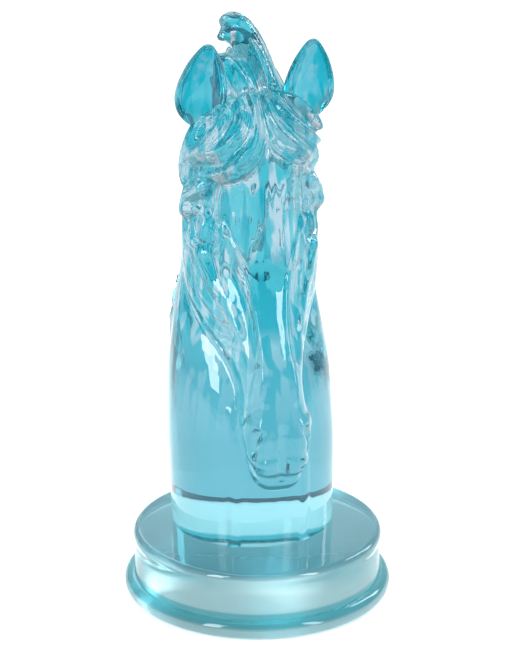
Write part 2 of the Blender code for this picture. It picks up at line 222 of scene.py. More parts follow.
@dataclass(frozen=True)
class Profile:
    """Values that change smoothly along a form, given at stations.

    stations holds rows of a position followed by the values there.
    """

    stations: Stations

    def at(self, positions: np.ndarray) -> np.ndarray:
        """Reads the values on a smooth curve through the stations.

        Args:
            positions: where along the form.

        Returns:
            One row of values for each position.
        """
        table = np.array(self.stations, float)
        keys, values = table[:, 0], table[:, 1:]
        last = len(keys) - 1
        where = np.clip(positions, keys[0], keys[-1])
        i = np.clip(np.searchsorted(keys, where) - 1, 0, last - 1)
        before, after = np.maximum(i - 1, 0), np.minimum(i + 2, last)
        span = keys[i + 1] - keys[i]
        t = ((where - keys[i]) / span)[:, None]
        start = (values[i + 1] - values[before]) * (span / (keys[i + 1] - keys[before]))[:, None]
        end = (values[after] - values[i]) * (span / (keys[after] - keys[i]))[:, None]
        return (
            (2 * t**3 - 3 * t**2 + 1) * values[i]
            + (t**3 - 2 * t**2 + t) * start
            + (3 * t**2 - 2 * t**3) * values[i + 1]
            + (t**3 - t**2) * end
        )


@dataclass(frozen=True)
class UprightForm:
    """A neck or a head, as level sections: front, widest line, back, half width, flat half width
    of its front, and how square it is in front and behind."""

    name: str
    profile: Profile
    around: int = 144
    step: float = 1.2
    flat_ramp: float = 0.25

    def build(self, grid: SculptorsGrid) -> Object:
        """Rolls the sections into a closed body.

        Args:
            grid: the squares that it is drawn on.

        Returns:
            The body.
        """
        low, high = self.profile.stations[0][0], self.profile.stations[-1][0]
        rings = int((high - low) / self.step)
        return skin_of_rings(
            self.name,
            rings,
            self.around,
            lambda around, along: grid.place(self.section(around, low + (high - low) * along)),
        )

    def section(self, around: np.ndarray, height: np.ndarray) -> np.ndarray:
        """Points on the sections.

        Args:
            around: share of the way round, from the middle of the front over +X.
            height: how high each point is.

        Returns:
            One place for each.
        """
        front, widest, back, half_width, flat, bow_front, bow_back = self.profile.at(height).T
        sine, cosine = np.sin(2 * math.pi * around), np.cos(2 * math.pi * around)
        ahead = cosine >= 0
        ramp = np.minimum(1, np.abs(sine) / self.flat_ramp)
        bow = np.where(ahead, bow_front, bow_back)
        narrow = np.where(ahead, half_width - flat, half_width)
        across = narrow * np.abs(sine) ** (2 / bow) + np.where(ahead, flat * ramp, 0)
        reach = np.where(ahead, front - widest, back - widest)
        along = widest + reach * np.abs(cosine) ** (2 / bow)
        return np.stack([np.copysign(across, sine), along, height], axis=1)

    def surface_y(self, across: np.ndarray, height: np.ndarray, behind: bool = False) -> np.ndarray:
        """How far forward or back the form reaches at a place across and up.

        Args:
            across: distance from the middle plane.
            height: how high.
            behind: True for the back.

        Returns:
            Y on the grid.
        """
        front, widest, back, half_width, flat, bow_front, bow_back = self.profile.at(height).T
        if behind:
            share = np.minimum(np.abs(across) / half_width, 1)
            return widest + (back - widest) * (1 - share**bow_back) ** (1 / bow_back)
        share = np.clip((np.abs(across) - flat) / (half_width - flat), 0, 1)
        return widest - (widest - front) * (1 - share**bow_front) ** (1 / bow_front)


NECK = UprightForm(
    "neck",
    Profile(
        (
            (-6, -28, 8, 53, 39.2, 0, 1.95, 2.3),
            (0, -28, 8, 53, 39.2, 0, 1.95, 2.3),
            (40, -27, 12, 54.5, 40.2, 0, 2.0, 2.2),
            (62, -24, 15, 55, 39.8, 0, 2.0, 2.1),
            (78, -18, 17, 55, 39, 0, 2.1, 2.1),
            (93, -8, 19, 55, 37.2, 0, 2.1, 2.0),
            (110, 2, 21, 54.5, 34.6, 0, 2.1, 2.0),
            (130, 8, 21, 53, 31.2, 0, 2.1, 1.9),
            (150, 8, 19, 51.5, 29.5, 0, 2.0, 1.9),
            (170, 6, 18, 50, 28, 0, 2.0, 1.8),
            (195, 5, 17, 47, 22, 0, 2.0, 1.7),
            (214, 8, 20, 43.5, 14.5, 0, 2.0, 1.7),
            (228, 15, 24, 38, 9, 0, 2.0, 1.8),
            (233, 20, 26, 33, 4.5, 0, 2.0, 1.9),
            (235, 24, 27, 30, 2, 0, 2.0, 2.0),
        )
    ),
)

HEAD = UprightForm(
    "head",
    Profile(
        (
            (33, -38, -33, -28, 5, 2, 2.0, 2.0),
            (36, -43, -33, -20, 9.5, 4, 2.1, 2.0),
            (42, -46.5, -33, -15, 12, 6, 2.2, 2.0),
            (50, -49, -34, -12, 13.5, 7, 2.3, 2.0),
            (60, -50, -34, -8, 15, 7.5, 2.2, 2.0),
            (68, -49, -33, -6, 15.8, 7, 2.1, 2.0),
            (77, -47, -27, -2, 14.8, 6.5, 1.9, 2.0),
            (86, -44.5, -17, 6, 16, 6.5, 1.7, 2.0),
            (94, -41.5, -6, 14, 19.5, 6.2, 1.55, 2.0),
            (104, -36, 5, 20, 25.7, 5.5, 1.4, 2.2),
            (115, -30, 11, 24, 30.4, 5.5, 1.3, 2.4),
            (128, -25, 13, 28, 32.4, 5.5, 1.25, 2.4),
            (142, -22, 13.5, 30, 33.0, 5.5, 1.25, 2.3),
            (154, -21, 14, 32, 33.1, 5, 1.2, 2.2),
            (166, -19.5, 14, 32, 32.9, 5, 1.2, 2.0),
            (180, -17, 12, 31, 30.8, 6, 1.4, 2.0),
            (192, -13.5, 9, 29, 27.5, 8, 1.7, 2.0),
            (202, -8.5, 9, 26, 22, 8, 2.0, 2.0),
            (208, -4, 10, 22, 16.5, 4, 2.0, 2.0),
            (213, 2, 11, 18, 10, 1, 2.0, 2.0),
            (216, 8, 12, 15, 4, 0, 2.0, 2.0),
        )
    ),
)


@dataclass(frozen=True)
class Ear:
    """A cupped ear, open to the front. profile gives, along it, the half width, the depth of its
    back and the depth of its cup."""

    side: Side
    foot: Point = (26.5, 11, 199)
    tip: Point = (24.4, -7, 240.5)
    turn_out: float = math.radians(4)
    rim: float = 2.6
    rim_share: float = 0.85
    back_bow: float = 0.8
    sink: float = 0.07
    rings: int = 40
    around: int = 72
    profile: Profile = Profile(
        (
            (0.00, 2.6, 3.0, -4.0),
            (0.07, 6.4, 5.6, -4.5),
            (0.17, 10.0, 8.0, -2.0),
            (0.30, 12.0, 9.2, 2.2),
            (0.45, 11.8, 8.8, 4.2),
            (0.60, 10.4, 7.6, 3.8),
            (0.75, 8.2, 6.0, 2.6),
            (0.88, 5.4, 4.2, 0.8),
            (0.96, 3.2, 2.6, -0.4),
            (0.99, 1.8, 1.6, -0.4),
            (1.00, 0.7, 0.7, -0.3),
        )
    )

    def build(self, grid: SculptorsGrid) -> Object:
        """Rolls the ear's sections into a closed body.

        Args:
            grid: the squares that it is drawn on.

        Returns:
            The ear, with its foot sunk in the head.
        """
        foot, tip = Vector(self.foot), Vector(self.tip)
        up = (tip - foot).normalized()
        opening = Vector((math.sin(self.turn_out), -math.cos(self.turn_out), 0))
        opening = (opening - opening.dot(up) * up).normalized()
        across = up.cross(opening)
        widest = max(station[1] for station in self.profile.stations)

        def place(around: np.ndarray, along: np.ndarray) -> np.ndarray:
            """Gives places on the ear.

            Args:
                around: shares of the way around it.
                along: shares of the way up it.

            Returns:
                The places.
            """
            share = (1 - np.cos(math.pi * along)) / 2
            half_width, back, cup = self.profile.at(share).T
            sine = np.sin(2 * math.pi * around)
            depth = np.abs(sine)
            rim = self.rim * half_width / widest
            hollow = rim * np.sin(math.pi * np.minimum(depth / self.rim_share, 1)) - cup * depth**3
            away = np.where(sine >= 0, -back * depth**self.back_bow, hollow)
            sideways = half_width * np.cos(2 * math.pi * around)
            sunk = np.where(along <= 0, self.sink, 0)
            points = (
                np.array(foot)
                + np.outer(share - sunk, np.array(tip - foot))
                + np.outer(sideways, np.array(across))
                + np.outer(away, np.array(opening))
            )
            points[:, 0] *= self.side.value
            return grid.place(points)

        return skin_of_rings("ear", self.rings, self.around, place)


@dataclass(frozen=True)
class Lock:
    """A lock of hair, thick until near its tip and ridged with strands.

    path and outward are its middle line and the way that it stands up, as rows. A high taper
    keeps it thick until close to its tip.
    """

    path: np.ndarray
    outward: np.ndarray
    half_width: float
    rise: float
    taper: float
    strands: int = 2
    strand_depth: float = 0.3
    around: int = 60
    root_share: float = 0.72
    tip_bow: float = 0.55
    thinnest: float = 0.1

    def build(self, grid: SculptorsGrid) -> Object:
        """Rolls the lock into a closed body.

        Args:
            grid: the squares that it is drawn on.

        Returns:
            The lock.
        """
        steps = len(self.path)
        ahead = np.gradient(self.path, axis=0)
        ahead /= np.linalg.norm(ahead, axis=1)[:, None]
        up = self.outward - np.sum(self.outward * ahead, axis=1)[:, None] * ahead
        up /= np.linalg.norm(up, axis=1)[:, None]
        across = np.cross(ahead, up)

        def place(around: np.ndarray, along: np.ndarray) -> np.ndarray:
            """Gives places on the lock.

            Args:
                around: shares of the way around it.
                along: shares of the way to its tip.

            Returns:
                The places.
            """
            k = np.rint(along * (steps - 1)).astype(int)
            t = k / (steps - 1)
            swell = self.root_share + (1 - self.root_share) * np.sin(math.pi * t)
            body = np.maximum(swell * (1 - t**self.taper) ** self.tip_bow, self.thinnest)
            angle = 2 * math.pi * around
            ridge = 1 + self.strand_depth * np.cos(2 * self.strands * angle)
            wide = body * self.half_width * np.cos(angle)
            high = body * self.rise * np.sin(angle) * ridge
            points = self.path[k] + across[k] * wide[:, None] + up[k] * high[:, None]
            return grid.place(points)

        return skin_of_rings("lock", steps, self.around, place)


def curve(points: Sequence[Sequence[float]], steps: int) -> np.ndarray:
    """A smooth curve that starts and ends at the outer points and is drawn to the others.

    Args:
        points: the points that shape it.
        steps: how many places to give along it.

    Returns:
        One row for each place.
    """
    t = np.linspace(0, 1, steps)[:, None]
    row = [np.tile(np.array(p, float), (steps, 1)) for p in points]
    while len(row) > 1:
        row = [a + (b - a) * t for a, b in zip(row, row[1:])]
    return row[0]


@dataclass(frozen=True)
class Forelock:
    """The hair that fans from the poll over the brow.

    locks holds each lock's side, root, bend and tip as places across and up the brow, then its
    half width and how thick it stands.
    """

    head: UprightForm
    steps: int = 36
    taper: float = 8
    lift: float = 1.4
    lift_bow: float = 0.7
    tilt: float = 0.8
    brow_step: float = 2.0
    locks: tuple = (
        (Side.RIGHT, (3, 214), (2, 186), (25, 178), 6.6, 4.6),
        (Side.RIGHT, (7, 212), (9, 193), (29, 187), 6.0, 4.8),
        (Side.RIGHT, (13, 209), (17, 199), (33.5, 180), 5.2, 4.4),
        (Side.RIGHT, (19, 204), (30.5, 199), (33, 170), 4.8, 4.2),
        (Side.LEFT, (2, 214), (4, 194), (26, 184), 5.8, 4.4),
        (Side.LEFT, (6, 213), (17, 208), (34, 194), 6.0, 5.6),
        (Side.LEFT, (4, 213), (12, 199), (33, 186), 5.4, 5.0),
        (Side.LEFT, (12, 210), (22, 206), (30, 200), 4.6, 4.2),
        (Side.LEFT, (18, 196), (24, 188), (29, 177), 3.2, 3.0),
    )

    def build(self, grid: SculptorsGrid) -> list[Object]:
        """Builds each lock on the brow's surface.

        Args:
            grid: the squares that it is drawn on.

        Returns:
            The locks.
        """
        made = []
        top = self.head.profile.stations[-2][0]
        for side, root, bend, tip, half_width, rise in self.locks:
            across, height = curve((root, bend, tip), self.steps).T
            low = np.minimum(height, top)
            y = self.head.surface_y(across, low)
            slope = self.head.surface_y(across + self.brow_step, low) - y
            ahead, tilt = np.full_like(y, -self.brow_step), np.full_like(y, self.tilt)
            out = np.stack([side.value * slope, ahead, tilt], axis=1)
            out /= np.linalg.norm(out, axis=1)[:, None]
            t = np.linspace(0, 1, self.steps)
            stand = self.lift * np.sin(math.pi * t**self.lift_bow)
            path = np.stack([side.value * across, y, height], axis=1) + out * stand[:, None]
            made.append(Lock(path, out, half_width, rise, self.taper).build(grid))
        return made


@dataclass(frozen=True)
class TopLocks:
    """The locks that curl up over the poll: each one's path, half width and thickness."""

    steps: int = 40
    taper: float = 9
    outward: Point = (0.3, -1, 0.3)
    locks: tuple = (
        (((12, 4, 206), (6, 11, 224), (-2, 18, 255), (-14, 19, 244)), 5.4, 5.2),
        (((6, 3, 206), (3, 9, 222), (-3, 16, 249), (-14.5, 19, 236.5)), 6.2, 5.6),
        (((2, 3, 204), (-6, 8, 216), (-10, 14, 234), (-16, 18, 226)), 5.4, 5.0),
        (((16, 6, 202), (13, 12, 214), (8, 18, 224), (3, 24, 230)), 5.0, 4.4),
    )

    def build(self, grid: SculptorsGrid) -> list[Object]:
        """Builds each lock along its path.

        Args:
            grid: the squares that it is drawn on.

        Returns:
            The locks.
        """
        out = np.tile(np.array(self.outward, float), (self.steps, 1))
        return [
            Lock(curve(path, self.steps), out, half_width, rise, self.taper).build(grid)
            for path, half_width, rise in self.locks
        ]


@dataclass(frozen=True)
class Mane:
    """The locks that fall from the crest down both sides of the neck, and back over the crest."""

    neck: UprightForm
    count: int = 9
    top: float = 228
    foot: float = 150
    length: float = 64
    parting: float = 0.05
    spread: tuple[float, ...] = (0.42, 0.66, 0.88)
    spread_bow: float = 0.7
    wave: float = 0.08
    half_waves: float = 2.5
    lift: float = 1.4
    half_width: float = 6.2
    rise: float = 4.4
    taper: float = 2.6
    crest_count: int = 5
    crest_path: tuple[Point, ...] = ((3, 14, 219), (2, 22, 237), (5, 36, 225), (6, 44, 205))
    crest_step: float = 6
    crest_drift: tuple[float, ...] = (2, 3, 2, 1)
    crest_outward: Point = (0.6, 0.2, 1)
    crest_half_width: float = 5.5
    crest_rise: float = 4.5
    steps: int = 36

    def build(self, grid: SculptorsGrid) -> list[Object]:
        """Builds the locks on the neck's back.

        Args:
            grid: the squares that it is drawn on.

        Returns:
            The locks.
        """
        made = []
        t = np.linspace(0, 1, self.steps)
        for side in Side:
            for k in range(self.count):
                root = self.top + (self.foot - self.top) * k / (self.count - 1)
                z = root - self.length * t
                widest = self.spread[k % len(self.spread)]
                spread = self.parting + (widest - self.parting) * t**self.spread_bow
                share = spread + self.wave * np.sin(self.half_waves * math.pi * t + k)
                across = self.neck.profile.at(z)[:, 3] * share
                y = self.neck.surface_y(across, z, behind=True)
                backward = np.sqrt(np.maximum(1 - share**2, 0))
                out = np.stack([side.value * share, backward, np.zeros_like(y)], axis=1)
                out /= np.linalg.norm(out, axis=1)[:, None]
                path = np.stack([side.value * across, y, z], axis=1) + out * self.lift
                made.append(Lock(path, out, self.half_width, self.rise, self.taper).build(grid))
        for k in range(self.crest_count):
            sign = -1 if k % 2 else 1
            points = [
                (sign * x, y + drift * k, z - self.crest_step * k)
                for (x, y, z), drift in zip(self.crest_path, self.crest_drift)
            ]
            out = np.tile(np.array(self.crest_outward) * (sign, 1, 1), (self.steps, 1))
            path = curve(points, self.steps)
            made.append(Lock(path, out, self.crest_half_width, self.crest_rise, self.taper).build(grid))
        return made


@dataclass(frozen=True)
class Stroke:
    """One stroke of the modelling tool: a path that is pushed out, or in where depth is below 0.

    A path's point is a place across and up the head's front, or a place on the grid.
    """

    name: str
    path: Sequence[Sequence[float]]
    reach: float
    depth: float

    def route(self, head: UprightForm, side: Side) -> np.ndarray:
        """The path on the grid.

        Args:
            head: the form that points without a depth lie on.
            side: the side that the path lies on.

        Returns:
            One row for each point.
        """
        rows = []
        for point in self.path:
            x, z = point[0], point[-1]
            y = point[1] if len(point) == 3 else head.surface_y(np.array([x]), np.array([z]))[0]
            rows.append((side.value * x, y, z))
        return np.array(rows, float)

    def apply(self, mesh: Mesh, grid: SculptorsGrid, head: UprightForm, side: Side) -> None:
        """Pushes the surface near the path along its normals.

        Args:
            mesh: the mesh.
            grid: the squares that the path is drawn on.
            head: the form that points without a depth lie on.
            side: the side that the path lies on.
        """
        points = coordinates(mesh)
        route = grid.place(self.route(head, side))
        reach = self.reach * STROKE_FADE * grid.square
        low, high = route.min(axis=0) - reach, route.max(axis=0) + reach
        near = np.nonzero(np.all((points > low) & (points < high), axis=1))[0]
        spot = points[near]
        nearest = np.full(len(spot), np.inf)
        for a, b in zip(route, route[1:]):
            along = np.clip(((spot - a) @ (b - a)) / ((b - a) @ (b - a)), 0, 1)
            nearest = np.minimum(nearest, np.linalg.norm(spot - a - along[:, None] * (b - a), axis=1))
        fade = (1 - np.clip(nearest / reach, 0, 1) ** 2) ** 2
        points[near] += coordinates(mesh, "normal")[near] * (fade * self.depth * grid.square)[:, None]
        move_to(mesh, points)


@dataclass(frozen=True)
class Face:
    """The eyes, brows, cheeks, nostrils and mouth, as strokes on the head's left side that are
    repeated on its right, and strokes on its middle."""

    head: UprightForm
    paired: tuple[Stroke, ...] = (
        Stroke("temple", ((21.5, 172), (22.5, 166), (22.5, 160)), 3.6, -4.6),
        Stroke("brow", ((27, 171), (31, 165.5), (33, 11, 158.5)), 3.6, 3.6),
        Stroke("brow ridge", ((33, 10, 160), (28, 160.5), (22, 157), (18.5, 152)), 2.0, 1.8),
        Stroke("eyeball", ((25.5, 154), (26, 149)), 2.8, 2.4),
        Stroke(
            "eye rim",
            ((21, 152), (23, 157), (27, 158), (30.5, 154), (30, 147), (26, 144), (22, 146), (21, 152)),
            1.5,
            -1.1,
        ),
        Stroke("lower lid", ((19.5, 149), (22, 142.5), (27, 141), (31.5, 147)), 1.7, 0.9),
        Stroke(
            "bridge edge",
            ((19, 157), (16.5, 150), (13, 141), (9.5, 132), (7.3, 118), (7, 100), (7.5, 80)),
            1.5,
            0.9,
        ),
        Stroke("facial crest", ((26.5, 141), (23, 128), (18.6, 118), (15, 108)), 3.0, 1.6),
        Stroke("cheek hollow", ((16, 134), (12, 117), (11, 98)), 3.8, -1.8),
        Stroke("cheek", ((29, 136), (27, 122)), 9.0, 1.6),
        Stroke("jaw edge", ((33, 8, 137), (30, 2, 118), (24, 109.5), (17, 106)), 2.3, -1.3),
        Stroke(
            "nostril wing",
            ((10, 68.5), (13.5, -41, 69.5), (15, -37, 64), (13.5, -40, 56)),
            2.6,
            1.2,
        ),
        Stroke("nostril", ((12, 66), (12.8, -43, 61), (12.5, -43, 56)), 2.4, -3.8),
        Stroke("nostril floor", ((8, 51.5), (11.5, 50), (13.5, -38, 53)), 1.8, 1.2),
        Stroke("muzzle lobe", ((6, 63), (6.3, 59)), 4.0, 1.2),
        Stroke("lip lobe", ((5.8, 51), (5.6, 47.5)), 3.6, 1.6),
        Stroke("lip crease", ((1.5, 55.5), (6, 55), (10, 53.5)), 1.6, -0.8),
        Stroke("mouth", ((0, 42), (8, 42.5), (12, -38, 45.5), (13.5, -27, 51)), 1.8, -1.5),
        Stroke("throat fold", ((18, -25, 1), (18, -24, 45), (17, -18, 66)), 2.4, 1.2),
    )
    middle: tuple[Stroke, ...] = (Stroke("lip groove", ((0, 66), (0, 56), (0, 45)), 2.0, -1.1),)

    def carve(self, mesh: Mesh, grid: SculptorsGrid) -> None:
        """Draws every stroke.

        Args:
            mesh: the figure's mesh.
            grid: the squares that the strokes are drawn on.
        """
        for stroke in self.paired:
            for side in Side:
                stroke.apply(mesh, grid, self.head, side)
        for stroke in self.middle:
            stroke.apply(mesh, grid, self.head, Side.LEFT)


@dataclass(frozen=True)
class CombedStrands:
    """Fine strands combed down the back of the neck under the mane's locks."""

    neck: UprightForm
    count: float = 15
    depth: float = 0.8
    low: float = 62
    high: float = 226
    fade: float = 16
    wander: float = 0.35
    wander_length: float = 70
    stagger: float = 18
    stagger_half_waves: float = 7

    def comb(self, mesh: Mesh, grid: SculptorsGrid) -> None:
        """Presses the strands into the neck's back.

        Args:
            mesh: the figure's mesh.
            grid: the squares that the strands are drawn on.
        """
        points = coordinates(mesh)
        x, y, z = grid.read(points).T
        _, widest, _, half_width, *_ = self.neck.profile.at(z).T
        turn = np.arcsin(np.clip(x / half_width, -1, 1)) / math.pi
        sway = self.wander * np.sin(2 * math.pi * z / self.wander_length)
        strand = np.cos(2 * math.pi * (self.count * turn + sway))
        behind = np.clip((y - widest) / self.fade, 0, 1)
        foot = self.low + self.stagger * (1 + np.sin(self.stagger_half_waves * math.pi * turn))
        tall = np.clip((z - foot) / (2 * self.fade), 0, 1) * np.clip((self.high - z) / self.fade, 0, 1)
        push = strand * behind * tall * self.depth * grid.square
        move_to(mesh, points + coordinates(mesh, "normal") * push[:, None])


@dataclass(frozen=True)
class Figure:
    """The horse's head and neck as one skin."""

    voxel: float = 1.05
    smoothing: int = 5
    polishing: int = 4

    def build(self, grid: SculptorsGrid) -> Object:
        """Models the forms, runs them together and carves them.

        Args:
            grid: the squares that the figure is drawn on.

        Returns:
            The figure, without its ears.
        """
        forms = [NECK.build(grid), HEAD.build(grid)]
        forms += Forelock(HEAD).build(grid)
        forms += TopLocks().build(grid)
        forms += Mane(NECK).build(grid)
        figure = joined(forms, "figure")
        skin = figure.modifiers.new("skin", "REMESH")
        skin.mode = "VOXEL"
        skin.voxel_size = self.voxel * grid.square
        bpy.ops.object.modifier_apply(modifier=skin.name)
        self.smooth(figure, self.smoothing)
        Face(HEAD).carve(figure.data, grid)
        self.smooth(figure, self.polishing)
        CombedStrands(NECK).comb(figure.data, grid)
        log.info("figure: %d faces", len(figure.data.polygons))
        return figure

    @staticmethod
    def smooth(figure: Object, rounds: int) -> None:
        """Evens out the figure's skin, each vertex half of the way to its neighbours a round.

        Args:
            figure: the figure.
            rounds: how many times over.
        """
        polish = figure.modifiers.new("polish", "SMOOTH")
        polish.factor = 0.5
        polish.iterations = rounds
        bpy.ops.object.modifier_apply(modifier=polish.name)


@dataclass(frozen=True)
class Plinth:
    """The round plinth: a wall with a rounded top edge and a slight waist, on a rolled bead."""

    rim_radius: float
    height: float = 31.5 * MILLIMETRE
    waist: float = 0.6 * MILLIMETRE
    edge_radius: float = 3.2 * MILLIMETRE
    bead_radius: float = 4.6 * MILLIMETRE
    bead_centre: float = 4.0 * MILLIMETRE
    arc_steps: int = 12
    turn_steps: int = 192

    def outline(self) -> list[tuple[float, float]]:
        """The plinth's outline.

        Returns:
            Radius and height from the middle of its top to the middle of its foot.
        """
        wall = self.rim_radius - self.bead_radius
        wall_top = self.height - self.edge_radius
        wall_foot = self.bead_centre + self.bead_radius
        points = [(0.0, self.height)]
        for angle in np.linspace(math.pi / 2, 0, self.arc_steps):
            radius = wall - self.edge_radius + self.edge_radius * math.cos(angle)
            points.append((radius, wall_top + self.edge_radius * math.sin(angle)))
        for t in np.linspace(0, 1, self.arc_steps)[1:-1]:
            radius = wall - self.waist * math.sin(math.pi * t)
            points.append((radius, wall_top + (wall_foot - wall_top) * t))
        lowest = -math.asin(self.bead_centre / self.bead_radius)
        for angle in np.linspace(math.pi / 2, lowest, 2 * self.arc_steps):
            radius = wall + self.bead_radius * math.cos(angle)
            points.append((radius, self.bead_centre + self.bead_radius * math.sin(angle)))
        points[-1] = (points[-1][0], 0.0)
        points.append((0.0, 0.0))
        return points

    def build(self) -> Object:
        """Spins the outline about the upright axis.

        Returns:
            The closed plinth.
        """
        outline = self.outline()
        mesh = bpy.data.meshes.new("plinth")
        mesh.from_pydata([(r, 0, z) for r, z in outline], [(i, i + 1) for i in range(len(outline) - 1)], [])
        plinth = bpy.data.objects.new("plinth", mesh)
        bpy.context.scene.collection.objects.link(plinth)
        activate(plinth)
        bpy.ops.object.mode_set(mode="EDIT")
        bpy.ops.mesh.select_all(action="SELECT")
        bpy.ops.mesh.spin(steps=self.turn_steps, angle=2 * math.pi, center=(0, 0, 0), axis=(0, 0, 1))
        bpy.ops.mesh.select_all(action="SELECT")
        bpy.ops.mesh.remove_doubles(threshold=SPIN_MERGE)
        bpy.ops.mesh.normals_make_consistent(inside=False)
        bpy.ops.object.mode_set(mode="OBJECT")
        return plinth


def add_node(
    tree: bpy.types.NodeTree, kind: str, settings: dict | None = None, links: dict | None = None
) -> bpy.types.Node:
    """Adds a node with its settings and its incoming links.

    Args:
        tree: the tree that takes the node.
        kind: the node's type, without the ShaderNode that it starts with.
        settings: node properties by name, and socket values by the socket's name or number.
        links: output sockets by the name or number of the input that they go to.

    Returns:
        The node.
    """
    node = tree.nodes.new("ShaderNode" + kind)
    for name, value in (settings or {}).items():
        if isinstance(name, str) and hasattr(node, name):
            setattr(node, name, value)
        else:
            node.inputs[name].default_value = value
    for name, socket in (links or {}).items():
        tree.links.new(socket, node.inputs[name])
    return node


class Axis(Enum):
    """A way that the casting is measured in."""

    ASIDE = "away from the middle plane"
    BACK = "from the face to the mane"
    UP = "from the foot to the ears"


@dataclass(frozen=True)
class Marks:
    """Soft marks in the glass or on its skin.

    size_mm is their size, a stretch below 1 draws them out along that axis, and detail and
    raggedness say how broken their edges are.
    """

    size_mm: float
    stretch: Point = (1.0, 1.0, 1.0)
    detail: float = 2.0
    raggedness: float = 0.5


class Melt:
    """The nodes of a glass, laid out by places on the casting."""

    def __init__(self, tree: bpy.types.NodeTree) -> None:
        """Adds the nodes that measure the casting.

        Args:
            tree: the material's tree.
        """
        self.tree = tree
        self.place = add_node(tree, "TexCoord").outputs["Object"]
        axes = add_node(tree, "SeparateXYZ", {}, {"Vector": self.place}).outputs
        aside = add_node(tree, "Math", {"operation": "ABSOLUTE"}, {0: axes["X"]})
        self.along = {Axis.ASIDE: aside.outputs["Value"], Axis.BACK: axes["Y"], Axis.UP: axes["Z"]}

    def marks(self, marks: Marks) -> Socket:
        """Adds marks, as a pattern with values near 0.5.

        Args:
            marks: the marks.

        Returns:
            The pattern's socket.
        """
        drawn = add_node(
            self.tree, "VectorMath", {"operation": "MULTIPLY", 1: marks.stretch}, {0: self.place}
        )
        shape = {
            "Scale": 1 / (marks.size_mm * MILLIMETRE),
            "Detail": marks.detail,
            "Roughness": marks.raggedness,
        }
        clouds = add_node(self.tree, "TexNoise", shape, {"Vector": drawn.outputs["Vector"]})
        return clouds.outputs["Fac"]

    def zone(self, *edges: tuple[Axis, float, float], pattern: Socket | None = None) -> Socket:
        """Adds a mask that is 1 in a zone of the casting and 0 outside it.

        Args:
            edges: for each edge of the zone, its axis, where it starts and where it is full.
            pattern: a pattern that shows in the zone alone, if the mask is for one.

        Returns:
            The socket of the mask, or of the pattern within it.
        """
        shown = pattern
        for axis, start, full in edges:
            limits = {"interpolation_type": "SMOOTHSTEP", "From Min": start, "From Max": full}
            edge = add_node(self.tree, "MapRange", limits, {"Value": self.along[axis]}).outputs[0]
            if shown is not None:
                both = {0: shown, 1: edge}
                edge = add_node(self.tree, "Math", {"operation": "MULTIPLY"}, both).outputs[0]
            shown = edge
        return shown


